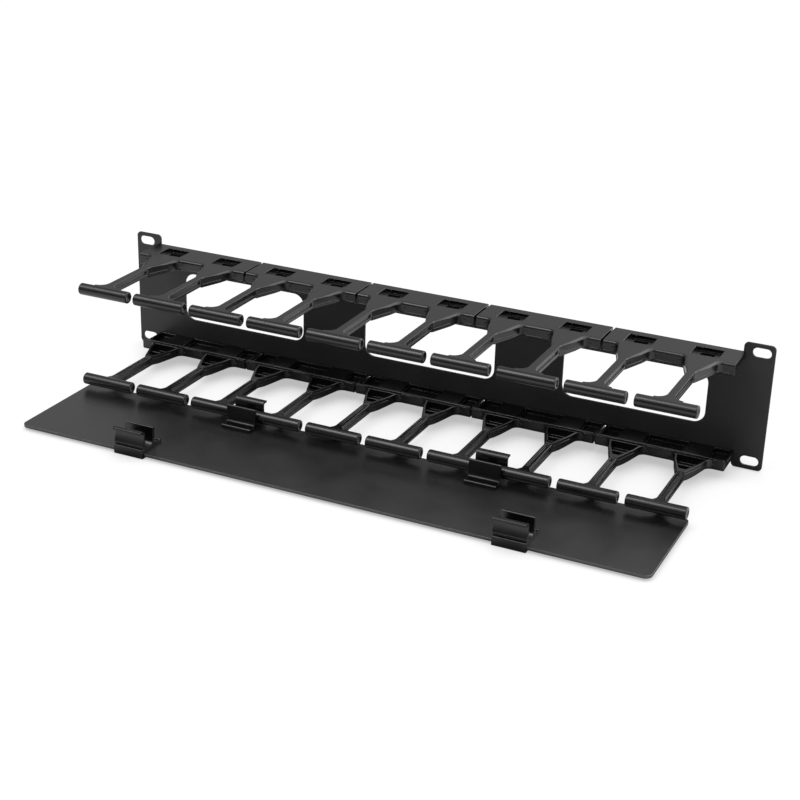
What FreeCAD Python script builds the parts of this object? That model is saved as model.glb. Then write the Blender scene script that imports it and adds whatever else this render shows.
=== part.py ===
import FreeCAD, Part
import math
import os
from FreeCAD import Vector

# Horizontal cable manager for a 19 inch rack, two units high.
# Millimetres. X to the right, Y towards the rack, Z up.
# The origin is the centre of the four rack slots, on the front face of the panel.
# The photograph shows the cover hinged down flat in front of the lower row.

# Steel rack panel
panel_width = 482.6
panel_height = 88.1
panel_thick = 1.5
panel_corner_r = 3.0
slot_from_end = 8.75
slot_from_edge = 5.95
slot_length = 12.2
slot_width = 6.4
ear_width = 20.8
notch_depth = 10.05
window_count = 3
window_from_ear = 20.5
window_width = 100.0
window_height = 36.2
window_corner_r = 8.0

# Moulded finger modules, five in each row
module_count = 5
module_row_overhang = 1.625
module_gap = 1.5
module_top_inset = 6.39
module_depth = 26.0
skin_thick = 1.8
wall_thick = 1.7
front_wall_thick = 2.0
front_wall_height = 8.2
side_wall_height = 5.2
front_edge_r = 2.1
root_corner_r = 4.0
fingers_per_module = 2

# Shallow bands along the front wall
band_from_top = 3.7
band_height = 3.0
band_depth = 0.8
band_end_gap = 1.4
band_root_gap = 0.3

# Pockets behind each finger
pocket_width = 18.5
pocket_back_y = 6.3
pocket_front_y = 20.4
pocket_depth = 2.5
hole_width = 9.3
hole_back_y = 9.7
hole_front_y = 17.6
hole_depth = 4.3
pocket_pad_wall = 1.2
pocket_bar_width = 0.9
pocket_bar_proud = 0.6
raised_box_width = 17.5

# Finger: tapering root, straight stem and cross bar
root_half_front = 11.2
root_half_mid = 9.0
root_mid_y = 35.0
stem_start_y = 52.0
stem_half = 2.6
stem_height = 6.5
root_height = 7.2
stem_groove_depth = 1.1
stem_groove_from_top = 1.8
stem_groove_height = 2.6
stem_channel_width = 1.8
stem_channel_depth = 1.2
root_wall = 1.6
root_pocket_floor = 1.9
root_pocket_end_y = 47.5
root_rib_y = 37.0
root_rib_thick = 1.3
root_rib_height = 3.2
root_panel_depth = 0.6
root_panel_margin = 1.1
root_panel_from_top = 2.5
bar_y = 101.44
bar_drop = 4.06
bar_r = 4.1
bar_gap = 5.375
bar_end_r = 0.9
bar_fillet_r = 6.5

# Cover plate, lying open in front of the lower row
cover_end_clear = 0.0
cover_thick = 2.0
cover_edge_reach = 7.3
cover_face_drop = 6.7
cover_corner_r = 5.0

# Moulded clips on the cover
clip_width = 22.0
clip_jaw_gap = 0.25
clip_leg_thick = 1.4
clip_leg_height = 5.6
clip_lip_r = 3.4
clip_lip_angle = 125.0
clip_inner_leg_height = 7.4
clip_base_reach = 14.1
clip_base_thick = 1.5
clip_skirt_thick = 1.3
clip_lower_reach = 3.0
clip_slot_clear = 0.05

# Sizes that follow from the ones above
notch_half_x = panel_width / 2.0 - ear_width
notch_half_z = panel_height / 2.0 - notch_depth
window_pitch = (2 * (notch_half_x - window_from_ear) - window_width) / (window_count - 1)
module_pitch = (2 * (notch_half_x + module_row_overhang) + module_gap) / module_count
finger_pitch = module_pitch / fingers_per_module
module_top_z = panel_height / 2.0 - module_top_inset
bar_z = module_top_z - bar_drop
bar_length = finger_pitch - bar_gap
cover_width = 2 * (notch_half_x - cover_end_clear)


def box(x0, x1, y0, y1, z0, z1):
    return Part.makeBox(x1 - x0, y1 - y0, z1 - z0, Vector(x0, y0, z0))


def prism_z(points, z0, z1):
    corners = [Vector(x, y, z0) for x, y in points]
    face = Part.Face(Part.makePolygon(corners + [corners[0]]))
    return face.extrude(Vector(0, 0, z1 - z0))


def rounded_plate_y(x0, x1, z0, z1, r, y0, y1):
    solid = box(x0, x1, y0, y1, z0, z1)
    upright = []
    for edge in solid.Edges:
        a = edge.Vertexes[0].Point
        b = edge.Vertexes[1].Point
        if abs(a.x - b.x) < 1e-6 and abs(a.z - b.z) < 1e-6:
            upright.append(edge)
    return solid.makeFillet(r, upright)


def oblong_y(cx, cz, length, width, y0, y1):
    r = width / 2.0
    half = length / 2.0 - r
    solid = box(cx - half, cx + half, y0, y1, cz - r, cz + r)
    for side in (-1, 1):
        end = Part.makeCylinder(r, y1 - y0, Vector(cx + side * half, y0, cz), Vector(0, 1, 0))
        solid = solid.fuse(end)
    return solid.removeSplitter()


def corner_edges(solid, spots, tol=0.01):
    found = []
    for edge in solid.Edges:
        a = edge.Vertexes[0].Point
        b = edge.Vertexes[-1].Point
        if abs(a.x - b.x) > tol or abs(a.z - b.z) > tol:
            continue
        for x, z in spots:
            if abs(a.x - x) < tol and abs(a.z - z) < tol:
                found.append(edge)
    return found


def rack_panel():
    hx = panel_width / 2.0
    hz = panel_height / 2.0
    plate = box(-hx, hx, 0, panel_thick, -hz, hz)
    for side in (-1, 1):
        z0 = min(side * notch_half_z, side * (hz + 1))
        z1 = max(side * notch_half_z, side * (hz + 1))
        plate = plate.cut(box(-notch_half_x, notch_half_x, -1, panel_thick + 1, z0, z1))
    spots = [(sx * x, sz * hz) for sx in (-1, 1) for sz in (-1, 1) for x in (hx, notch_half_x)]
    plate = plate.makeFillet(panel_corner_r, corner_edges(plate, spots))
    for sx in (-1, 1):
        for sz in (-1, 1):
            slot = oblong_y(sx * (hx - slot_from_end), sz * (hz - slot_from_edge),
                            slot_length, slot_width, -1, panel_thick + 1)
            plate = plate.cut(slot)
    for i in range(window_count):
        cx = (i - (window_count - 1) / 2.0) * window_pitch
        window = rounded_plate_y(cx - window_width / 2.0, cx + window_width / 2.0,
                                 -window_height / 2.0, window_height / 2.0,
                                 window_corner_r, -1, panel_thick + 1)
        plate = plate.cut(window)
    return plate


def beam():
    # Channel section of the module: top skin, front wall and low back wall.
    top = module_top_z
    d = module_depth
    x0 = -half_module()
    section = [
        (0, top - side_wall_height), (0, top), (-d, top), (-d, top - front_wall_height),
        (-d + front_wall_thick, top - front_wall_height),
        (-d + front_wall_thick, top - skin_thick), (-wall_thick, top - skin_thick),
        (-wall_thick, top - side_wall_height),
    ]
    corners = [Vector(x0, y, z) for y, z in section]
    face = Part.Face(Part.makePolygon(corners + [corners[0]]))
    return face.extrude(Vector(2 * half_module(), 0, 0))


def half_module():
    return (module_pitch - module_gap) / 2.0


def finger_xs():
    return [(i - (fingers_per_module - 1) / 2.0) * finger_pitch for i in range(fingers_per_module)]


def root_corner():
    # Round inside corner between the front wall and the right side of a finger root:
    # its ends and middle in plan, measured from the finger's centre line.
    d = module_depth
    r = root_corner_r
    fall = math.hypot(root_half_front - root_half_mid, root_mid_y - d)
    nx = (root_mid_y - d) / fall
    ny = -(root_half_front - root_half_mid) / fall
    cx = root_half_front + (r + r * ny) / nx
    cy = -d - r
    on_wall = (cx, -d)
    on_side = (cx - r * nx, cy - r * ny)
    mx, my = -nx, 1 - ny
    m = math.hypot(mx, my)
    return on_wall, (cx + r * mx / m, cy + r * my / m), on_side


def root_outline(cx, side):
    # Points along one side of the finger root, from its round corner to the stem.
    on_side = root_corner()[2]
    return [(cx + side * on_side[0], on_side[1]),
            (cx + side * root_half_mid, -root_mid_y),
            (cx + side * stem_half, -stem_start_y)]


def finger_root(cx):
    z = module_top_z - root_height
    wall, middle, on_side = root_corner()
    edges = []
    for side in (-1, 1):
        arc = [Vector(cx + side * x, y, z) for x, y in (wall, middle, on_side)]
        inner = Vector(arc[0].x, -(module_depth - 1.0), z)
        line = [Vector(x, y, z) for x, y in root_outline(cx, side)]
        edges.append(Part.LineSegment(inner, arc[0]).toShape())
        edges.append(Part.Arc(arc[0], arc[1], arc[2]).toShape())
        for a, b in zip(line, line[1:]):
            edges.append(Part.LineSegment(a, b).toShape())
        if side < 0:
            first_inner, first_tip = inner, line[-1]
        else:
            edges.append(Part.LineSegment(first_inner, inner).toShape())
            edges.append(Part.LineSegment(first_tip, line[-1]).toShape())
    face = Part.Face(Part.Wire(Part.__sortEdges__(edges)))
    return face.extrude(Vector(0, 0, root_height))


def stem_plan(cx):
    # Stem widened by a round corner on each side where it meets the cross bar.
    r = bar_fillet_r
    tangent_y = -bar_y + math.sqrt(bar_r ** 2 - (module_top_z - bar_z - 1.0) ** 2)
    edges = []
    y0 = -stem_start_y + 1.0
    z = module_top_z - stem_height
    right = [Vector(cx + stem_half, y0, z), Vector(cx + stem_half, tangent_y + r, z)]
    arc_mid = Vector(cx + stem_half + r * (1 - math.cos(math.radians(45))),
                     tangent_y + r * (1 - math.sin(math.radians(45))), z)
    arc_end = Vector(cx + stem_half + r, tangent_y, z)
    low_r = Vector(cx + stem_half + r, -bar_y, z)
    low_l = Vector(cx - stem_half - r, -bar_y, z)
    left_end = Vector(cx - stem_half - r, tangent_y, z)
    left_mid = Vector(2 * cx - arc_mid.x, arc_mid.y, z)
    left = [Vector(cx - stem_half, tangent_y + r, z), Vector(cx - stem_half, y0, z)]
    edges.append(Part.LineSegment(right[0], right[1]).toShape())
    edges.append(Part.Arc(right[1], arc_mid, arc_end).toShape())
    edges.append(Part.LineSegment(arc_end, low_r).toShape())
    edges.append(Part.LineSegment(low_r, low_l).toShape())
    edges.append(Part.LineSegment(low_l, left_end).toShape())
    edges.append(Part.Arc(left_end, left_mid, left[0]).toShape())
    edges.append(Part.LineSegment(left[0], left[1]).toShape())
    edges.append(Part.LineSegment(left[1], right[0]).toShape())
    face = Part.Face(Part.Wire(edges))
    return face.extrude(Vector(0, 0, stem_height)), tangent_y + r


def side_recess(cx, a, b, start, end, depth, z0, z1):
    # Shallow panel cut into the wall that runs from a to b in plan, on the side away from cx.
    ax, ay = a
    bx, by = b
    length = math.hypot(bx - ax, by - ay)
    tx, ty = (bx - ax) / length, (by - ay) / length
    nx, ny = (ty, -tx)
    if nx * (ax + bx - 2 * cx) < 0:
        nx, ny = -nx, -ny
    p0 = (ax + tx * start, ay + ty * start)
    p1 = (bx - tx * end, by - ty * end)
    pts = [(p0[0] + nx, p0[1] + ny), (p1[0] + nx, p1[1] + ny),
           (p1[0] - nx * depth, p1[1] - ny * depth), (p0[0] - nx * depth, p0[1] - ny * depth)]
    return prism_z(pts, z0, z1)


def cross_bar(cx):
    bar = Part.makeCylinder(bar_r, bar_length, Vector(cx - bar_length / 2.0, -bar_y, bar_z),
                            Vector(1, 0, 0))
    rims = [e for e in bar.Edges if e.Closed and abs(e.BoundBox.XLength) < 1e-6]
    return bar.makeFillet(bar_end_r, rims)


def front_top_edges(solid, tol=0.01):
    # Top edges along the front wall, round the corners and down the first length of each root.
    found = []
    for edge in solid.Edges:
        ends = [v.Point for v in edge.Vertexes]
        if any(abs(p.z - module_top_z) > tol or p.y > -module_depth + tol for p in ends):
            continue
        if all(p.y > -root_mid_y - tol for p in ends):
            found.append(edge)
    return found


def finger_module():
    top = module_top_z
    hw = half_module()
    d = module_depth
    body = beam()
    add = []
    for side in (-1, 1):
        x0 = min(side * hw, side * (hw - wall_thick))
        x1 = max(side * hw, side * (hw - wall_thick))
        add.append(box(x0, x1, -d + 1.0, -0.5 * wall_thick, top - side_wall_height, top - 0.5))
    cuts = []
    z_groove1 = top - stem_groove_from_top
    z_groove0 = z_groove1 - stem_groove_height
    for cx in finger_xs():
        add.append(finger_root(cx))
        stem, groove_end = stem_plan(cx)
        add.append(stem)
        add.append(cross_bar(cx))
        half = raised_box_width / 2.0
        add.append(box(cx - half, cx + half, -d + 1.0, -0.5 * wall_thick,
                       top - side_wall_height, top - 0.5))
        half = pocket_width / 2.0 + pocket_pad_wall
        add.append(box(cx - half, cx + half, -pocket_front_y - pocket_pad_wall,
                       -pocket_back_y + pocket_pad_wall,
                       top - pocket_depth - pocket_pad_wall, top - 0.5))
        half = pocket_width / 2.0
        pocket = box(cx - half, cx + half, -pocket_front_y, -pocket_back_y, top - pocket_depth, top + 1)
        bar_x = cx - hole_width / 2.0
        pocket = pocket.cut(box(bar_x - pocket_bar_width, bar_x, -pocket_back_y - pocket_bar_proud,
                                -pocket_back_y + 1, top - pocket_depth - 1, top - 0.4))
        cuts.append(pocket)
        half = hole_width / 2.0
        cuts.append(box(cx - half, cx + half, -hole_front_y, -hole_back_y,
                        top - hole_depth, top - pocket_depth + 0.5))
        wide = root_half_front - root_wall
        mid = root_half_mid - root_wall
        narrow = stem_half - 0.4
        y_in = -(d + root_wall)
        plan = [(cx - wide + 0.4, y_in), (cx - mid, -root_mid_y), (cx - narrow, -root_pocket_end_y),
                (cx + narrow, -root_pocket_end_y), (cx + mid, -root_mid_y), (cx + wide - 0.4, y_in)]
        hollow = prism_z(plan, top - root_height - 1, top - root_pocket_floor)
        rib = box(cx - root_half_front, cx + root_half_front, -root_rib_y - root_rib_thick, -root_rib_y,
                  top - root_pocket_floor - root_rib_height, top)
        cuts.append(hollow.cut(rib))
        y_far = groove_end + 1.0
        for side in (-1, 1):
            x_in = cx + side * (stem_half - stem_groove_depth)
            x_out = cx + side * (stem_half + 2.0)
            cuts.append(box(min(x_in, x_out), max(x_in, x_out), y_far, -stem_start_y - 1.5,
                            z_groove0, z_groove1))
            line = root_outline(cx, side)
            for a, b in zip(line, line[1:]):
                cuts.append(side_recess(cx, a, b, root_panel_margin, root_panel_margin,
                                        root_panel_depth, top - root_height + root_panel_margin,
                                        top - root_panel_from_top))
        half = stem_channel_width / 2.0
        cuts.append(box(cx - half, cx + half, y_far + 1.0, -stem_start_y - 1.5,
                        top - stem_height - 1, top - stem_height + stem_channel_depth))
    xs = finger_xs()
    reach = root_corner()[0][0] + band_root_gap
    marks = [-hw + band_end_gap] + [x for c in xs for x in (c - reach, c + reach)] + [hw - band_end_gap]
    for a, b in zip(marks[0::2], marks[1::2]):
        cuts.append(oblong_y((a + b) / 2.0, top - band_from_top - band_height / 2.0, b - a,
                             band_height, -d - 1, -d + band_depth))
    body = body.multiFuse(add)
    body = body.removeSplitter()
    body = body.makeFillet(front_edge_r, front_top_edges(body))
    body = body.cut(cuts)
    return body.removeSplitter()


def cover_plate():
    y1 = -bar_y + cover_edge_reach
    y0 = -bar_y - 2 * bar_z - cover_edge_reach
    z1 = -bar_z - cover_face_drop
    plate = box(-cover_width / 2.0, cover_width / 2.0, y0, y1, z1 - cover_thick, z1)
    upright = []
    for edge in plate.Edges:
        a = edge.Vertexes[0].Point
        b = edge.Vertexes[1].Point
        if abs(a.x - b.x) < 1e-6 and abs(a.y - b.y) < 1e-6:
            upright.append(edge)
    return plate.makeFillet(cover_corner_r, upright)


def clip_profile():
    # Section of a clip: u runs from the skirt to the tail, w is up, from the jaw's centre.
    r = bar_r + clip_jaw_gap
    t = clip_leg_thick
    face = -cover_face_drop
    floor = panel_height / 2.0
    under = -(floor - bar_z)
    skirt_u = -(cover_edge_reach + clip_skirt_thick)
    slot_u = -(cover_edge_reach + 2 * clip_slot_clear)
    slot_w = face - cover_thick - clip_slot_clear
    lean = 0.15
    lip_u = -(r + lean + clip_lip_r)
    h = clip_leg_height
    ang = math.radians(clip_lip_angle)
    inner_r = clip_lip_r
    outer_r = clip_lip_r - t
    base_w = face + clip_base_thick

    def on(radius, a):
        return (lip_u + radius * math.cos(a), h + radius * math.sin(a))

    leg_in = r + 0.4
    leg_out = leg_in + 1.8
    top_w = clip_inner_leg_height
    tail = clip_base_reach
    path = [
        ("arc", (-r, 0), (0, -r), (r, 0)),
        ("line", (r, 0), (leg_in, top_w - 0.9)),
        ("arc", (leg_in, top_w - 0.9), ((leg_in + leg_out) / 2.0, top_w), (leg_out, top_w - 0.9)),
        ("line", (leg_out, top_w - 0.9), (leg_out + 0.1, -1.8)),
        ("arc", (leg_out + 0.1, -1.8), (leg_out + 1.0, base_w + 0.9), (leg_out + 3.0, base_w)),
        ("line", (leg_out + 3.0, base_w), (tail - 2.0, base_w)),
        ("arc", (tail - 2.0, base_w), (tail - 0.9, base_w + 1.0), (tail, base_w)),
        ("line", (tail, base_w), (tail, face)),
        ("line", (tail, face), (slot_u, face)),
        ("line", (slot_u, face), (slot_u, slot_w)),
        ("line", (slot_u, slot_w), (clip_lower_reach, slot_w)),
        ("line", (clip_lower_reach, slot_w), (clip_lower_reach, slot_w - 1.2)),
        ("line", (clip_lower_reach, slot_w - 1.2), (clip_lower_reach - 1.3, under)),
        ("line", (clip_lower_reach - 1.3, under), (skirt_u + 0.8, under)),
        ("arc", (skirt_u + 0.8, under), (skirt_u + 0.23, under + 0.23), (skirt_u, under + 0.8)),
        ("line", (skirt_u, under + 0.8), (skirt_u, base_w + 0.6)),
        ("arc", (skirt_u, base_w + 0.6), (skirt_u + 0.2, base_w + 1.0), (skirt_u + 0.6, base_w + 1.2)),
        ("line", (skirt_u + 0.6, base_w + 1.2), (skirt_u + 1.9, base_w + 1.5)),
        ("line", (skirt_u + 1.9, base_w + 1.5), (skirt_u + 1.9, base_w + 2.1)),
        ("line", (skirt_u + 1.9, base_w + 2.1), (skirt_u + 1.0, base_w + 2.5)),
        ("arc", (skirt_u + 1.0, base_w + 2.5), (skirt_u + 0.75, base_w + 3.0),
         (skirt_u + 1.0, base_w + 3.5)),
        ("line", (skirt_u + 1.0, base_w + 3.5), (-(r + t + 0.3), 2.4)),
        ("line", (-(r + t + 0.3), 2.4), on(outer_r, 0)),
        ("arc", on(outer_r, 0), on(outer_r, ang / 2.0), on(outer_r, ang)),
        ("line", on(outer_r, ang), on(inner_r, ang)),
        ("arc", on(inner_r, ang), on(inner_r, ang / 2.0), on(inner_r, 0)),
        ("line", on(inner_r, 0), (-r, 0)),
    ]
    return path


def clip(cx, jaw_y, tail_sign):
    # The skirt points away from the tail, so tail_sign turns the section round for each edge.
    x0 = cx - clip_width / 2.0

    def place(p):
        return Vector(x0, jaw_y + tail_sign * p[0], -bar_z + p[1])

    edges = []
    for step in clip_profile():
        pts = [place(p) for p in step[1:]]
        if step[0] == "arc":
            edges.append(Part.Arc(pts[0], pts[1], pts[2]).toShape())
        else:
            edges.append(Part.LineSegment(pts[0], pts[1]).toShape())
    face = Part.Face(Part.Wire(edges))
    return face.extrude(Vector(clip_width, 0, 0))


os.makedirs("parts", exist_ok=True)

nodes = {"rack_panel": rack_panel()}

module = finger_module()
for i in range(module_count):
    cx = (i - (module_count - 1) / 2.0) * module_pitch
    upper = module.copy()
    upper.translate(Vector(cx, 0, 0))
    nodes["upper_finger_module_%d" % (i + 1)] = upper
    lower = module.copy()
    lower.rotate(Vector(0, 0, 0), Vector(0, 1, 0), 180)
    lower.translate(Vector(cx, 0, 0))
    nodes["lower_finger_module_%d" % (i + 1)] = lower

nodes["cover_plate"] = cover_plate()
hinge_x = module_pitch
latch_x = 1.5 * module_pitch
nodes["hinge_clip_left"] = clip(-hinge_x, -bar_y, -1)
nodes["hinge_clip_right"] = clip(hinge_x, -bar_y, -1)
nodes["latch_clip_left"] = clip(-latch_x, -bar_y - 2 * bar_z, 1)
nodes["latch_clip_right"] = clip(latch_x, -bar_y - 2 * bar_z, 1)

for name, shape in nodes.items():
    if len(shape.Solids) != 1:
        raise ValueError("%s has %d solids" % (name, len(shape.Solids)))
    solid = shape.Solids[0]
    solid.exportStep("parts/%s.step" % name)
    b = solid.BoundBox
    print("%-24s volume %9.1f  x %7.2f %7.2f  y %7.2f %7.2f  z %6.2f %6.2f  faces %d"
          % (name, solid.Volume, b.XMin, b.XMax, b.YMin, b.YMax, b.ZMin, b.ZMax, len(solid.Faces)))
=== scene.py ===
# %% [markdown]
# A horizontal cable manager for a 19 inch rack: a steel panel with three windows, two rows of
# moulded finger modules, and a flat cover that hangs on the lower row by snap clips.
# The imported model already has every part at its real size, so this lesson loads it first
# and then gives each part its rounded edges and its finish.

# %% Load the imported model
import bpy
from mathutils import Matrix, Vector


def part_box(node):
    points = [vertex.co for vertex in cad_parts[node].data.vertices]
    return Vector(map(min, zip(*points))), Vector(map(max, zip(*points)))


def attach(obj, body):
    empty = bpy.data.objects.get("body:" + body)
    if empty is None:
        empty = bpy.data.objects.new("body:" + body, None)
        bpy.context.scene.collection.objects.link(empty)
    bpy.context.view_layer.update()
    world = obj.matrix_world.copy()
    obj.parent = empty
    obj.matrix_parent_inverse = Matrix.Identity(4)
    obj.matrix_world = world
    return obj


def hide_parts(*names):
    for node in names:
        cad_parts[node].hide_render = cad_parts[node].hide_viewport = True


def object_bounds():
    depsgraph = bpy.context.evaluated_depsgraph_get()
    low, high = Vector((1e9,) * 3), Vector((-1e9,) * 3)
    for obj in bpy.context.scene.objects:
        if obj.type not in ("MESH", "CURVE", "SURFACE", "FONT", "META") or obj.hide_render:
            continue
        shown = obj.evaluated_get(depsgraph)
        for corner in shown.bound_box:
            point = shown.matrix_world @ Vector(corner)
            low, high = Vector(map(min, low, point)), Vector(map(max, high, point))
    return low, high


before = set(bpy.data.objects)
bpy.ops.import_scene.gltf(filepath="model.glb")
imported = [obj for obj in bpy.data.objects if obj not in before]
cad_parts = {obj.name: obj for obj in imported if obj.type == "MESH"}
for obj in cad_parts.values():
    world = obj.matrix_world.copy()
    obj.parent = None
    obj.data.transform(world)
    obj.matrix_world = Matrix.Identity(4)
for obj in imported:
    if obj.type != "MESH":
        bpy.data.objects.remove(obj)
cad_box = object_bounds()
print("packed parts:", len(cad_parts))

# %% Tools and units
import math

import bpy
from mathutils import Matrix, Vector

MM = 0.001
bpy.ops.object.select_all(action="DESELECT")
print("box in mm:", [[round(c / MM, 2) for c in corner] for corner in cad_box])

# %% [markdown]
# The camera comes before any finish, because a finish is judged from where the picture was taken.
# A long lens about a metre away keeps the panel's edges nearly parallel. The roll is small, and
# it is set by turning the camera's right and up directions about its line of sight.

# %% Camera place and lens
CAMERA_AZIMUTH = math.radians(24.715)
CAMERA_HEIGHT = math.radians(23.39)
CAMERA_ROLL = math.radians(1.683)
CAMERA_PLACE = Vector((429.54, -978.65, 418.525)) * MM
SENSOR_MM = 36.0
LENS_MM = 73.50
NEAREST_SEEN = 0.01
FARTHEST_SEEN = 50.0

back = Vector((math.sin(CAMERA_AZIMUTH) * math.cos(CAMERA_HEIGHT),
               -math.cos(CAMERA_AZIMUTH) * math.cos(CAMERA_HEIGHT),
               math.sin(CAMERA_HEIGHT)))
level_right = (-back).cross(Vector((0, 0, 1))).normalized()
level_up = level_right.cross(-back)
right = level_right * math.cos(CAMERA_ROLL) + level_up * math.sin(CAMERA_ROLL)
up = level_up * math.cos(CAMERA_ROLL) - level_right * math.sin(CAMERA_ROLL)
print("the camera looks along", [round(-c, 3) for c in back])

# %% Camera
camera_data = bpy.data.cameras.new("camera")
camera_data.sensor_width = SENSOR_MM
camera_data.lens = LENS_MM
camera_data.clip_start = NEAREST_SEEN
camera_data.clip_end = FARTHEST_SEEN
camera = bpy.data.objects.new("camera", camera_data)
bpy.context.scene.collection.objects.link(camera)
camera.matrix_world = (Matrix.Translation(CAMERA_PLACE)
                       @ Matrix((right, up, back)).transposed().to_4x4())
bpy.context.scene.camera = camera
print("camera at", [round(c, 3) for c in camera.location])

# %% [markdown]
# Colours are written as they look on a screen. Blender's shaders work with linear light, so one
# function turns a hex colour to linear. A second one adds a shader node with its settings and
# its links in one line, which keeps each material as short as a recipe.

# %% Helpers for materials
def linear(hex_colour):
    parts = [int(hex_colour[i:i + 2], 16) / 255 for i in (1, 3, 5)]
    return [p / 12.92 if p <= 0.04045 else ((p + 0.055) / 1.055) ** 2.4 for p in parts] + [1.0]


def add(tree, kind, links=None, inputs=None, **settings):
    node = tree.nodes.new(kind)
    for name, value in settings.items():
        setattr(node, name, value)
    for name, value in (inputs or {}).items():
        node.inputs[name].default_value = value
    for name, socket in (links or {}).items():
        tree.links.new(socket, node.inputs[name])
    return node


def new_material(name):
    material = bpy.data.materials.new(name)
    material.use_nodes = True
    material.node_tree.nodes.clear()
    return material, material.node_tree


def per_metre(size_mm):
    # Noise scale for features of this size, with coordinates in metres.
    return 1.0 / (size_mm * MM)


print("a mid grey is", round(linear("#808080")[0], 3), "in linear light")

# %% [markdown]
# The panel is cold-rolled steel sheet with a baked black powder coat. Powder melts into a skin
# with a fine orange peel, so the light on it is soft but never quite flat. The peel is about
# 1.5 mm from crest to crest. A real one is a few hundredths of a millimetre high at most, and
# it is drawn a little higher, so that it shows from here. One noise texture draws the peel, for
# the bump and the gloss, and a large one lets the black drift a little, as a thick coat does.

# %% Powder coated steel
PEEL_MM = 1.5
PEEL_HEIGHT_MM = 0.06
COAT_DRIFT_MM = 60.0


def powder_coated_steel():
    material, tree = new_material("powder_coated_steel")
    coords = add(tree, "ShaderNodeTexCoord").outputs["Object"]
    peel = add(tree, "ShaderNodeTexNoise", {"Vector": coords},
               {"Scale": per_metre(PEEL_MM), "Detail": 2.0, "Roughness": 0.5})
    drift = add(tree, "ShaderNodeTexNoise", {"Vector": coords},
                {"Scale": per_metre(COAT_DRIFT_MM), "Detail": 3.0, "Roughness": 0.55})
    colour = add(tree, "ShaderNodeValToRGB", {"Fac": drift.outputs["Fac"]})
    colour.color_ramp.elements[0].position = 0.35
    colour.color_ramp.elements[0].color = linear("#363637")
    colour.color_ramp.elements[1].position = 0.65
    colour.color_ramp.elements[1].color = linear("#3d3d3e")
    rough = add(tree, "ShaderNodeMapRange", {"Value": peel.outputs["Fac"]},
                {"From Min": 0.3, "From Max": 0.7, "To Min": 0.40, "To Max": 0.48})
    bump = add(tree, "ShaderNodeBump", {"Height": peel.outputs["Fac"]},
               {"Strength": 0.5, "Distance": PEEL_HEIGHT_MM * MM})
    shader = add(tree, "ShaderNodeBsdfPrincipled",
                 {"Base Color": colour.outputs["Color"], "Roughness": rough.outputs["Result"],
                  "Normal": bump.outputs["Normal"]},
                 {"IOR": 1.5, "Specular IOR Level": 0.42})
    add(tree, "ShaderNodeOutputMaterial", {"Surface": shader.outputs["BSDF"]})
    return material


steel_finish = powder_coated_steel()
print("made", steel_finish.name)

# %% [markdown]
# The fingers and clips are injection-moulded ABS from a spark-eroded mould. The mould leaves a
# fine grain on the plastic, which softens its reflections. The real grain is near 0.1 mm, and it
# is drawn very shallow at 0.7 mm, because a finer one would only flicker in a picture of the
# whole part. The plastic flowed into the mould in streaks, so its gloss drifts slowly too.

# %% Moulded plastic
GRAIN_MM = 0.7
GRAIN_HEIGHT_MM = 0.02
FLOW_MM = 14.0


def moulded_abs():
    material, tree = new_material("moulded_abs")
    coords = add(tree, "ShaderNodeTexCoord").outputs["Object"]
    grain = add(tree, "ShaderNodeTexNoise", {"Vector": coords},
                {"Scale": per_metre(GRAIN_MM), "Detail": 3.0, "Roughness": 0.6})
    flow = add(tree, "ShaderNodeTexNoise", {"Vector": coords},
               {"Scale": per_metre(FLOW_MM), "Detail": 2.0, "Roughness": 0.5})
    colour = add(tree, "ShaderNodeValToRGB", {"Fac": flow.outputs["Fac"]})
    colour.color_ramp.elements[0].position = 0.3
    colour.color_ramp.elements[0].color = linear("#0b0b0c")
    colour.color_ramp.elements[1].position = 0.7
    colour.color_ramp.elements[1].color = linear("#0f0f10")
    rough = add(tree, "ShaderNodeMapRange", {"Value": flow.outputs["Fac"]},
                {"From Min": 0.3, "From Max": 0.7, "To Min": 0.27, "To Max": 0.33})
    bump = add(tree, "ShaderNodeBump", {"Height": grain.outputs["Fac"]},
               {"Strength": 0.05, "Distance": GRAIN_HEIGHT_MM * MM})
    shader = add(tree, "ShaderNodeBsdfPrincipled",
                 {"Base Color": colour.outputs["Color"], "Roughness": rough.outputs["Result"],
                  "Normal": bump.outputs["Normal"]},
                 {"IOR": 1.54, "Specular IOR Level": 0.5})
    add(tree, "ShaderNodeOutputMaterial", {"Surface": shader.outputs["BSDF"]})
    return material


plastic_finish = moulded_abs()
print("made", plastic_finish.name)

# %% [markdown]
# The cover is a smooth rolled plastic sheet. It has no grain, only a very slight waviness and
# handling haze, so it mirrors the room softly: dark where it sees the fingers, paler where it
# sees the open backdrop.

# %% Smooth plastic sheet
HAZE_MM = 22.0
WAVE_MM = 1.2
WAVE_HEIGHT_MM = 0.04


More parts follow.
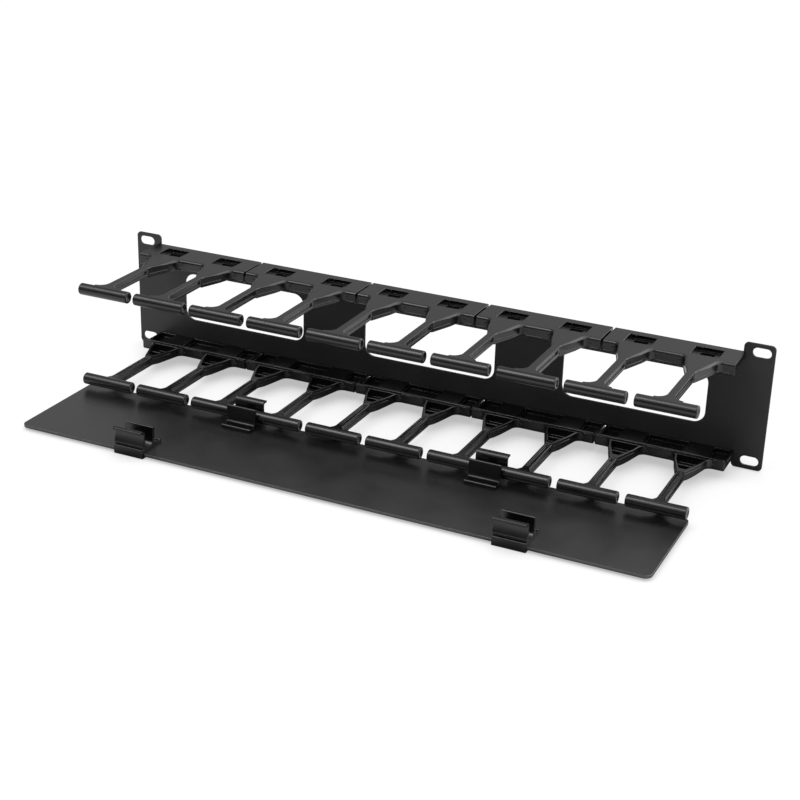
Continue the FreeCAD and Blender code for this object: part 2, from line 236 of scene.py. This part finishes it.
def smooth_sheet():
    material, tree = new_material("smooth_plastic_sheet")
    coords = add(tree, "ShaderNodeTexCoord").outputs["Object"]
    haze = add(tree, "ShaderNodeTexNoise", {"Vector": coords},
               {"Scale": per_metre(HAZE_MM), "Detail": 4.0, "Roughness": 0.6})
    wave = add(tree, "ShaderNodeTexNoise", {"Vector": coords},
               {"Scale": per_metre(WAVE_MM), "Detail": 1.0})
    rough = add(tree, "ShaderNodeMapRange", {"Value": haze.outputs["Fac"]},
                {"From Min": 0.3, "From Max": 0.7, "To Min": 0.29, "To Max": 0.36})
    bump = add(tree, "ShaderNodeBump", {"Height": wave.outputs["Fac"]},
               {"Strength": 0.3, "Distance": WAVE_HEIGHT_MM * MM})
    colour = add(tree, "ShaderNodeValToRGB", {"Fac": haze.outputs["Fac"]})
    colour.color_ramp.elements[0].position = 0.3
    colour.color_ramp.elements[0].color = linear("#0f0f10")
    colour.color_ramp.elements[1].position = 0.7
    colour.color_ramp.elements[1].color = linear("#131314")
    shader = add(tree, "ShaderNodeBsdfPrincipled",
                 {"Base Color": colour.outputs["Color"], "Roughness": rough.outputs["Result"],
                  "Normal": bump.outputs["Normal"]},
                 {"IOR": 1.56, "Specular IOR Level": 1.0})
    add(tree, "ShaderNodeOutputMaterial", {"Surface": shader.outputs["BSDF"]})
    return material


cover_finish = smooth_sheet()
print("made", cover_finish.name)

# %% [markdown]
# No moulded or coated edge is knife sharp: each catches a thin line of light, and those lines
# draw the shape of a black part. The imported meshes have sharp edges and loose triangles. So each
# part is copied, its points are merged, its flat faces are made whole, and a bevel rounds the
# edges. Bevel weights let one bevel round each edge by its own width.

# %% Select one piece alone
def pick(piece):
    bpy.ops.object.select_all(action="DESELECT")
    piece.select_set(True)
    bpy.context.view_layer.objects.active = piece


# %% Weigh the sharp edges
SHARP_EDGE = math.radians(32)


def weigh_edges(piece, width_mm, widest_mm):
    # Each sharp edge gets the bevel weight of its own width.
    bpy.ops.object.mode_set(mode="EDIT")
    bpy.ops.mesh.select_mode(type="EDGE")
    bpy.ops.mesh.select_all(action="DESELECT")
    bpy.ops.mesh.edges_select_sharp(sharpness=SHARP_EDGE)
    bpy.ops.object.mode_set(mode="OBJECT")
    mesh = piece.data
    weight = mesh.attributes.new("bevel_weight_edge", "FLOAT", "EDGE")
    for edge in mesh.edges:
        if edge.select:
            ends = [mesh.vertices[v].co / MM for v in edge.vertices]
            weight.data[edge.index].value = width_mm(ends) / widest_mm


print("edges over", round(math.degrees(SHARP_EDGE)), "degrees are rounded")

# %% [markdown]
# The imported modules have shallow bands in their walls, where the real wall looks plain. A recess
# is closed as by hand: its faces are deleted, and the open edges that this leaves are filled
# flush with the wall.

# %% Fill the recesses
def fill_recesses(piece, is_filled):
    bpy.ops.mesh.select_mode(type="FACE")
    bpy.ops.mesh.select_all(action="DESELECT")
    bpy.ops.object.mode_set(mode="OBJECT")
    mesh = piece.data
    count = 0
    for face in mesh.polygons:
        if is_filled([mesh.vertices[v].co / MM for v in face.vertices]):
            face.select = True
            count += 1
    bpy.ops.object.mode_set(mode="EDIT")
    bpy.ops.mesh.delete(type="FACE")
    bpy.ops.mesh.select_mode(type="EDGE")
    bpy.ops.mesh.select_all(action="DESELECT")
    bpy.ops.mesh.select_non_manifold()
    bpy.ops.mesh.fill_holes(sides=0)
    print(count, "recess faces filled")


# %% Rounded copy of a part
SAME_POINT_MM = 0.002
FLAT_ENOUGH = math.radians(0.3)
SMOOTH_UNDER = math.radians(40)
# Where a piece's edges differ, a weight of 1 stands for this width, and no edge is wider.
WIDEST_ROUND_MM = 2.1


def rounded_copy(node_name, piece_name, edge_mm, segments=2, width_mm=None, is_filled=None):
    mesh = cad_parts[node_name].data.copy()
    piece = bpy.data.objects.new(piece_name, mesh)
    mesh.name = piece_name
    bpy.context.scene.collection.objects.link(piece)
    pick(piece)
    bpy.ops.mesh.customdata_custom_splitnormals_clear()
    bpy.ops.object.mode_set(mode="EDIT")
    bpy.ops.mesh.select_all(action="SELECT")
    bpy.ops.mesh.remove_doubles(threshold=SAME_POINT_MM * MM)
    if is_filled:
        fill_recesses(piece, is_filled)
    bpy.ops.mesh.select_all(action="SELECT")
    bpy.ops.mesh.dissolve_limited(angle_limit=FLAT_ENOUGH)
    bpy.ops.object.mode_set(mode="OBJECT")
    widest_mm = WIDEST_ROUND_MM if width_mm else edge_mm
    weigh_edges(piece, width_mm or (lambda ends: edge_mm), widest_mm)
    bevel = piece.modifiers.new("edge", "BEVEL")
    bevel.width = widest_mm * MM
    bevel.segments = segments
    bevel.limit_method = "WEIGHT"
    bevel.use_clamp_overlap = False
    bpy.ops.object.modifier_apply(modifier="edge")
    bpy.ops.object.shade_smooth_by_angle(angle=SMOOTH_UNDER)
    weights = piece.modifiers.new("even", "WEIGHTED_NORMAL")
    weights.keep_sharp = True
    bpy.ops.object.modifier_apply(modifier="even")
    print(piece_name, len(piece.data.polygons), "faces")
    return piece


# %% [markdown]
# A finished piece takes its material. Then it is joined to the body that it moves with, and the
# imported part that it stands for is hidden. Every piece needs all of this, so one helper does it.

# %% Dress a piece
def dress(piece, body, finish, node_name):
    piece.data.materials.clear()
    piece.data.materials.append(finish)
    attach(piece, body)
    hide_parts(node_name)


# %% [markdown]
# The panel is one flat sheet of steel, punched and cut in a press. Punching leaves its rims a
# little round and the coat rounds them more, so the sheet only needs a narrow bevel all over.

# %% Panel
PANEL_EDGE_MM = 0.3

panel = rounded_copy("rack_panel", "panel_sheet", PANEL_EDGE_MM)
dress(panel, "frame", steel_finish, "rack_panel")

# %% [markdown]
# A finger module is a thin-walled moulding with two fingers. It could be rounded all over by one
# width, but its edges differ: the top of a finger's root rolls over softly, the steps inside a
# pocket stay nearly sharp, and the lower rims are in between. So two small tests look at where
# a face or an edge lies, in millimetres: one finds the bands to fill, the other gives the width.

# %% Measures of a finger module
# Millimetres, on the module in the middle of the upper row.
MODULE_TOP = 37.66
FINGER_X = 22.2875
BAR_Y = -101.44
BAR_Z = 33.6
WALL_Y = -26.0

# Plan of one side of a finger's root, from the front wall to the stem, from the finger's middle.
ROOT_FRONT = Vector((11.2, WALL_Y))
ROOT_MIDDLE = Vector((9.0, -35.0))
ROOT_TIP = Vector((2.6, -52.0))


def root_side_planes():
    # Start, direction, outward normal and length of the two flat lengths of each root side.
    for finger in (-FINGER_X, FINGER_X):
        for side in (-1, 1):
            for a, b in ((ROOT_FRONT, ROOT_MIDDLE), (ROOT_MIDDLE, ROOT_TIP)):
                start = Vector((finger + side * a.x, a.y))
                end = Vector((finger + side * b.x, b.y))
                along = (end - start).normalized()
                normal = Vector((-along.y, along.x))
                if normal.x * side < 0:
                    normal = -normal
                yield start, along, normal, (end - start).length


SIDE_PLANES = list(root_side_planes())
TIP_PLANES = SIDE_PLANES[1::2]
print(len(SIDE_PLANES), "flat lengths of root side,", len(TIP_PLANES), "of them next to a stem")

# %% Bands to fill
# Heights are measured from the module's top, and depths from the wall inwards.
SLACK = 0.01
WALL_BAND_HEIGHTS = (-6.8, -3.6)
WALL_BAND_BACK = -25.15
WALL_BAND_INSIDE = -25.6
SIDE_BAND_HEIGHTS = (-6.15, -2.45)
SIDE_BAND_DEPTH = 0.66
SIDE_BAND_INSIDE = 0.3


def is_recess(points):
    heights = [p.z - MODULE_TOP for p in points]
    low, high = WALL_BAND_HEIGHTS
    if all(low < h < high and WALL_Y - SLACK < p.y < WALL_BAND_BACK
           for h, p in zip(heights, points)):
        return any(p.y > WALL_BAND_INSIDE for p in points)
    low, high = SIDE_BAND_HEIGHTS
    if not all(low < h < high for h in heights):
        return False
    for start, along, normal, length in SIDE_PLANES:
        gaps = [Vector((p.x, p.y)) - start for p in points]
        depths = [g.dot(normal) for g in gaps]
        if (all(-SIDE_BAND_DEPTH < d < SLACK for d in depths)
                and min(depths) < -SIDE_BAND_INSIDE
                and all(-SLACK < g.dot(along) < length + SLACK for g in gaps)):
            return True
    return False


print("bands end", -WALL_BAND_HEIGHTS[0], "and", -SIDE_BAND_HEIGHTS[0], "mm below the top")

# %% Width of each rounded edge
ROOT_ROUND_MM = 1.9
POCKET_STEP_MM = 0.1
RIM_MM = 0.5
PLAIN_EDGE_MM = 0.3
POCKET_HALF = 9.4
POCKET_Y = (-20.5, -6.2)
POCKET_HEIGHTS = (-5.1, -0.2)
RIM_HEIGHT = -5.1
STEM_END_Y = -96.0
TOP_SLACK = 0.02
PLANE_SLACK = 0.03
END_SLACK = 0.1


def is_root_top(ends):
    # The top edge of a root's second length is as round as the front wall's top edge.
    if not all(abs(p.z - MODULE_TOP) < TOP_SLACK
               and ROOT_TIP.y - END_SLACK < p.y < ROOT_MIDDLE.y + END_SLACK for p in ends):
        return False
    return any(all(abs((Vector((p.x, p.y)) - start).dot(normal)) < PLANE_SLACK for p in ends)
               for start, along, normal, length in TIP_PLANES)


def is_pocket_step(ends):
    return all(abs(abs(p.x) - FINGER_X) < POCKET_HALF
               and POCKET_Y[0] < p.y < POCKET_Y[1]
               and POCKET_HEIGHTS[0] < p.z - MODULE_TOP < POCKET_HEIGHTS[1] for p in ends)


def module_edge_width(ends):
    if is_root_top(ends):
        return ROOT_ROUND_MM
    if is_pocket_step(ends):
        return POCKET_STEP_MM
    if all(p.z < MODULE_TOP + RIM_HEIGHT and p.y > STEM_END_Y for p in ends):
        return RIM_MM
    return PLAIN_EDGE_MM


print("edges are rounded by", POCKET_STEP_MM, "to", ROOT_ROUND_MM, "mm")

# %% First finger module
MODULE_NODE = "%s_finger_module_%d"
MODULE_PIECE = "%s_moulding_%d"
MIDDLE = 3

first_node = MODULE_NODE % ("upper", MIDDLE)
first_module = rounded_copy(first_node, MODULE_PIECE % ("upper", MIDDLE), PLAIN_EDGE_MM, 3,
                            module_edge_width, is_recess)

# %% [markdown]
# Each flat end of a cross bar has a shallow dimple, where the plastic shrank from the mould. Two
# insets make it as by hand: one leaves a flat ring, and the next slopes down into the bar.

# %% Dimples in the bar ends
DIMPLE_RING_MM = 1.1
DIMPLE_SLOPE_MM = 0.35
DIMPLE_DEPTH_MM = 0.45
SIDEWAYS = 0.99
NEAR_AXIS_MM = 1.0


def dimple_bar_ends(piece):
    pick(piece)
    bpy.ops.object.mode_set(mode="EDIT")
    bpy.ops.mesh.select_mode(type="FACE")
    bpy.ops.mesh.select_all(action="DESELECT")
    bpy.ops.object.mode_set(mode="OBJECT")
    bar_axis = Vector((0, BAR_Y, BAR_Z))
    count = 0
    for face in piece.data.polygons:
        off = face.center / MM - bar_axis
        if abs(face.normal.x) > SIDEWAYS and math.hypot(off.y, off.z) < NEAR_AXIS_MM:
            face.select = True
            count += 1
    bpy.ops.object.mode_set(mode="EDIT")
    bpy.ops.mesh.inset(thickness=DIMPLE_RING_MM * MM, depth=0.0)
    bpy.ops.mesh.inset(thickness=DIMPLE_SLOPE_MM * MM, depth=-DIMPLE_DEPTH_MM * MM)
    bpy.ops.object.mode_set(mode="OBJECT")
    print(count, "bar ends dimpled")


dimple_bar_ends(first_module)

# %% [markdown]
# A thin round bead stiffens the bottom of the front wall, and another runs down each side of a
# finger's root. They are cylinders turned along their lines, with both rims rounded over. A small
# round button ends the wall beside each root, and it is made as one more short bead.

# %% A bead between two points
BEAD_SIDES = 20
BEAD_RIM_ANGLE = math.radians(60)
# The rounding of a bead's rim, as a share of its radius.
BEAD_RIM_SHARE = 0.85
BEAD_RIM_STEPS = 4
BEAD_SMOOTH_UNDER = math.radians(50)


def bead(start, end, radius_mm):
    start, end = Vector(start), Vector(end)
    along = end - start
    bpy.ops.object.select_all(action="DESELECT")
    bpy.ops.mesh.primitive_cylinder_add(vertices=BEAD_SIDES, radius=radius_mm * MM,
                                        depth=along.length * MM,
                                        location=(start + end) / 2 * MM,
                                        rotation=along.to_track_quat("Z", "Y").to_euler())
    roll = bpy.context.active_object
    bpy.ops.object.transform_apply(location=True, rotation=True)
    bpy.ops.object.mode_set(mode="EDIT")
    bpy.ops.mesh.select_mode(type="EDGE")
    bpy.ops.mesh.select_all(action="DESELECT")
    bpy.ops.mesh.edges_select_sharp(sharpness=BEAD_RIM_ANGLE)
    bpy.ops.mesh.bevel(offset=radius_mm * BEAD_RIM_SHARE * MM, segments=BEAD_RIM_STEPS,
                       affect="EDGES")
    bpy.ops.object.mode_set(mode="OBJECT")
    bpy.ops.object.shade_smooth_by_angle(angle=BEAD_SMOOTH_UNDER)
    return roll


def join_onto(piece, extras):
    bpy.ops.object.select_all(action="DESELECT")
    for extra in extras:
        extra.select_set(True)
    piece.select_set(True)
    bpy.context.view_layer.objects.active = piece
    bpy.ops.object.join()


print("a bead has", BEAD_SIDES, "sides")

# %% Beads and buttons
BEAD_RADIUS = 0.5
BEAD_SINK = 0.1
WALL_BEAD_SPANS = ((-43.6, -36.6), (-8.0, 8.0), (36.6, 43.6))
WALL_BEAD_Z = MODULE_TOP - 7.0
SIDE_BEAD_Z = MODULE_TOP - 4.9
SIDE_BEAD_START = 0.6
SIDE_BEAD_STOP = 0.4
BUTTON_X = (-36.9, -7.7, 7.7, 36.9)
BUTTON_Z = MODULE_TOP - 3.4
BUTTON_RADIUS = 0.75
BUTTON_ROOT_Y = WALL_Y + 1.0
BUTTON_FACE_Y = WALL_Y - 0.55

beads = []
for x0, x1 in WALL_BEAD_SPANS:
    beads.append(bead((x0, WALL_Y + BEAD_SINK, WALL_BEAD_Z),
                      (x1, WALL_Y + BEAD_SINK, WALL_BEAD_Z), BEAD_RADIUS))
for x in BUTTON_X:
    beads.append(bead((x, BUTTON_ROOT_Y, BUTTON_Z), (x, BUTTON_FACE_Y, BUTTON_Z),
                      BUTTON_RADIUS))
for start, along, normal, length in TIP_PLANES:
    low = start - normal * BEAD_SINK + along * SIDE_BEAD_START
    high = start - normal * BEAD_SINK + along * (length - SIDE_BEAD_STOP)
    beads.append(bead((low.x, low.y, SIDE_BEAD_Z), (high.x, high.y, SIDE_BEAD_Z), BEAD_RADIUS))
join_onto(first_module, beads)
print(len(beads), "beads,", len(first_module.data.polygons), "faces")

# %% [markdown]
# All ten modules come from one mould. The upper row is the first one moved sideways, and the
# lower row is the same moulding turned half round about the front-to-back axis. Each gets a mesh
# of its own, so that each can be exported as a piece.

# %% Ten modules
MODULE_COUNT = 5

plain = first_module.data.copy()
dress(first_module, "frame", plastic_finish, first_node)
for row in ("upper", "lower"):
    for number in range(1, MODULE_COUNT + 1):
        node_name = MODULE_NODE % (row, number)
        if node_name == first_node:
            continue
        low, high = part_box(node_name)
        turn = Matrix.Rotation(math.pi, 4, "Y") if row == "lower" else Matrix.Identity(4)
        mesh = plain.copy()
        mesh.transform(Matrix.Translation(((low.x + high.x) / 2, 0, 0)) @ turn)
        piece = bpy.data.objects.new(MODULE_PIECE % (row, number), mesh)
        bpy.context.scene.collection.objects.link(piece)
        dress(piece, "frame", plastic_finish, node_name)
print("ten mouldings in two rows")

# %% [markdown]
# The cover is a flat sheet, 2 mm thick, sawn to size with four round corners. Only its rims are
# broken, by a narrow bevel of three segments, so that they show as one thin line.

# %% Cover
COVER_EDGE_MM = 0.25

cover = rounded_copy("cover_plate", "cover_sheet", COVER_EDGE_MM, 3)
dress(cover, "cover", cover_finish, "cover_plate")

# %% [markdown]
# A snap clip is a moulding of one section all along: a jaw for the bar, a skirt round the cover's
# edge and a tail on its face. The jaw's lip ends in a round roll, which guides the bar in, and a
# thicker roll fills the corner between the jaw's back and the tail.

# %% Snap clips
CLIP_HALF = 10.9
CLIP_EDGE_MM = 0.2
# The cover lies level at rest, with its two pairs of jaws as far apart as the two rows of bars.
LATCH_Y = BAR_Y - 2 * BAR_Z
# Place from the jaw's middle, along the cover and off it, and radius.
LIP_ROLL = (-9.13, 7.55, 0.70)
HEEL_ROLL = (7.75, -4.05, 1.25)


def snap_clip(node_name, jaw_y, tail_sign):
    # The section runs from the skirt to the tail, and tail_sign turns it round.
    clip = rounded_copy(node_name, node_name.replace("clip", "snap"), CLIP_EDGE_MM)
    low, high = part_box(node_name)
    middle = (low.x + high.x) / 2 / MM
    rolls = []
    for u, w, radius in (LIP_ROLL, HEEL_ROLL):
        y, z = jaw_y + tail_sign * u, -BAR_Z + w
        rolls.append(bead((middle - CLIP_HALF, y, z), (middle + CLIP_HALF, y, z), radius))
    join_onto(clip, rolls)
    dress(clip, "cover", plastic_finish, node_name)


for end in ("left", "right"):
    snap_clip("hinge_clip_" + end, BAR_Y, -1)
    snap_clip("latch_clip_" + end, LATCH_Y, 1)
print("four snap clips")

# %% [markdown]
# The floor is a pale paper sweep. It keeps the lamp's soft shadow of the part, with a contact
# shade painted near it, and the camera sees the rest of it as white, by its own colour and not by
# stronger lamps.

# %% Floor
FLOOR_Z = cad_box[0].z
FLOOR_SIZE = 12.0

bpy.ops.object.select_all(action="DESELECT")
bpy.ops.mesh.primitive_plane_add(size=FLOOR_SIZE, location=(0, 0, FLOOR_Z))
floor = bpy.context.active_object
floor.name = "floor"
bpy.ops.object.transform_apply(location=True)
print("floor at", round(FLOOR_Z / MM, 2), "mm")

# %% [markdown]
# The paper scatters light, and it also glows towards the camera, by nearly as much as white.
# An ambient occlusion node dims that glow where the part is close, which paints the contact shade.
# Reflections see the glow too, but painted shade takes nearly all of it away in the gaps under the
# fingers.

# %% Paper
CONTACT_MM = 32
CONTACT_SAMPLES = 8
CAMERA_GLOW = 0.92

paper, tree = new_material("pale_paper")
path = add(tree, "ShaderNodeLightPath")
diffuse = add(tree, "ShaderNodeBsdfDiffuse", inputs={"Color": linear("#6a6a6a")})
openness = add(tree, "ShaderNodeAmbientOcclusion", inputs={"Distance": CONTACT_MM * MM},
               samples=CONTACT_SAMPLES)
# Painted contact shade: the glow darkens where ambient occlusion finds the part close.
painted_contact_shade = add(tree, "ShaderNodeMapRange", {"Value": openness.outputs["AO"]},
                   {"From Min": 0.1, "From Max": 0.88, "To Min": 0.5, "To Max": 1.0})
glow = add(tree, "ShaderNodeEmission", {"Color": painted_contact_shade.outputs["Result"]},
           {"Strength": 1.0})
nothing = add(tree, "ShaderNodeEmission", inputs={"Strength": 0.0})
# Painted shade in reflections: the glow that reflections see fades where the part is close.
reflected_glow_painted_shade = add(tree, "ShaderNodeMapRange", {"Value": openness.outputs["AO"]},
                 {"From Min": 0.75, "From Max": 0.98, "To Min": 0.08, "To Max": 1.05})
mirrored = add(tree, "ShaderNodeMath", {0: path.outputs["Is Glossy Ray"],
                                        1: reflected_glow_painted_shade.outputs["Result"]}, operation="MULTIPLY")
shows = add(tree, "ShaderNodeMath", {0: path.outputs["Is Camera Ray"], 2: mirrored.outputs[0]},
            {1: CAMERA_GLOW}, operation="MULTIPLY_ADD")
seen = add(tree, "ShaderNodeMixShader", {0: shows.outputs[0],
                                         1: nothing.outputs[0], 2: glow.outputs[0]})
both = add(tree, "ShaderNodeAddShader", {0: diffuse.outputs[0], 1: seen.outputs[0]})
add(tree, "ShaderNodeOutputMaterial", {"Surface": both.outputs[0]})
floor.data.materials.append(paper)
print("made", paper.name)

# %% [markdown]
# The room is a white studio. The camera sees it as plain white. A black plastic shows little but
# its reflections, so reflections see the room as it would be with softboxes in it: a dim front,
# a paler wall behind, and two large soft patches, one behind on the right and one overhead.

# %% Studio walls
world = bpy.data.worlds.new("studio")
bpy.context.scene.world = world
world.use_nodes = True
tree = world.node_tree
tree.nodes.clear()
path = add(tree, "ShaderNodeLightPath")
direction = add(tree, "ShaderNodeTexCoord").outputs["Generated"]
depth = add(tree, "ShaderNodeSeparateXYZ", {0: direction}).outputs["Y"]
wall = add(tree, "ShaderNodeMapRange", {"Value": depth},
           {"From Min": -0.3, "From Max": 0.5, "To Min": 0.13, "To Max": 0.42})
print("world", world.name)

# %% Softboxes
# Direction, cosines of the angle from it at the patch's rim and where it is full, and strength.
RIGHT_SOFTBOX = ((0.75, 0.35, 0.56), 0.35, 0.75, 1.9)
OVERHEAD_SOFTBOX = ((-0.384, -0.35, 0.855), 0.76, 0.95, 0.85)


def softbox(towards, edge, full, strength):
    nearness = add(tree, "ShaderNodeVectorMath", {0: direction}, {1: towards},
                   operation="DOT_PRODUCT")
    return add(tree, "ShaderNodeMapRange", {"Value": nearness.outputs["Value"]},
               {"From Min": edge, "From Max": full, "To Min": 0.0, "To Max": strength},
               interpolation_type="SMOOTHSTEP").outputs["Result"]


patches = add(tree, "ShaderNodeMath",
              {0: softbox(*RIGHT_SOFTBOX), 1: softbox(*OVERHEAD_SOFTBOX)}, operation="ADD")
print("two soft patches")

# %% Light for each kind of ray
# Reflections see the walls and softboxes, the camera sees white, and the rest is a plain fill.
# A Mix node of numbers has its factor at socket 0, and its two values at 2 and 3.
gloss = add(tree, "ShaderNodeMath", {0: wall.outputs["Result"], 1: patches.outputs[0]},
            operation="ADD")
fill = add(tree, "ShaderNodeMapRange", {"Value": depth},
           {"From Min": -0.8, "From Max": 0.8, "To Min": 0.36, "To Max": 0.76})
lit = add(tree, "ShaderNodeMix", {0: path.outputs["Is Glossy Ray"], 2: fill.outputs["Result"],
                                  3: gloss.outputs[0]}, data_type="FLOAT")
seen = add(tree, "ShaderNodeMath", {0: path.outputs["Is Camera Ray"],
                                    1: path.outputs["Is Transmission Ray"]}, operation="MAXIMUM")
strength = add(tree, "ShaderNodeMix", {0: seen.outputs[0], 2: lit.outputs[0]}, {3: 1.0},
               data_type="FLOAT")
sky = add(tree, "ShaderNodeBackground", {"Strength": strength.outputs[0]},
          {"Color": linear("#ffffff")})
add(tree, "ShaderNodeOutputWorld", {"Surface": sky.outputs[0]})
print("world nodes:", len(tree.nodes))

# %% [markdown]
# One soft lamp hangs almost overhead, a little to the front and left. It is a sun lamp with a
# wide angle: every part of the floor gets the same light, and the rounded edges and bars turn
# it into long highlights.

# %% Overhead lamp
LAMP_TOWARDS = Vector((-0.384, -0.305, 0.871))
LAMP_WIDTH = math.radians(24.0)
LAMP_STRENGTH = 0.8

lamp_data = bpy.data.lights.new("overhead_softbox", "SUN")
lamp_data.angle = LAMP_WIDTH
lamp_data.energy = LAMP_STRENGTH
lamp = bpy.data.objects.new("overhead_softbox", lamp_data)
bpy.context.scene.collection.objects.link(lamp)
lamp.rotation_euler = LAMP_TOWARDS.to_track_quat("Z", "Y").to_euler()
print("lamp", lamp.name)

# %% [markdown]
# The plain Standard view shows each colour about as it is written.

# %% Plain view
bpy.context.scene.view_settings.view_transform = "Standard"
bpy.ops.object.select_all(action="DESELECT")
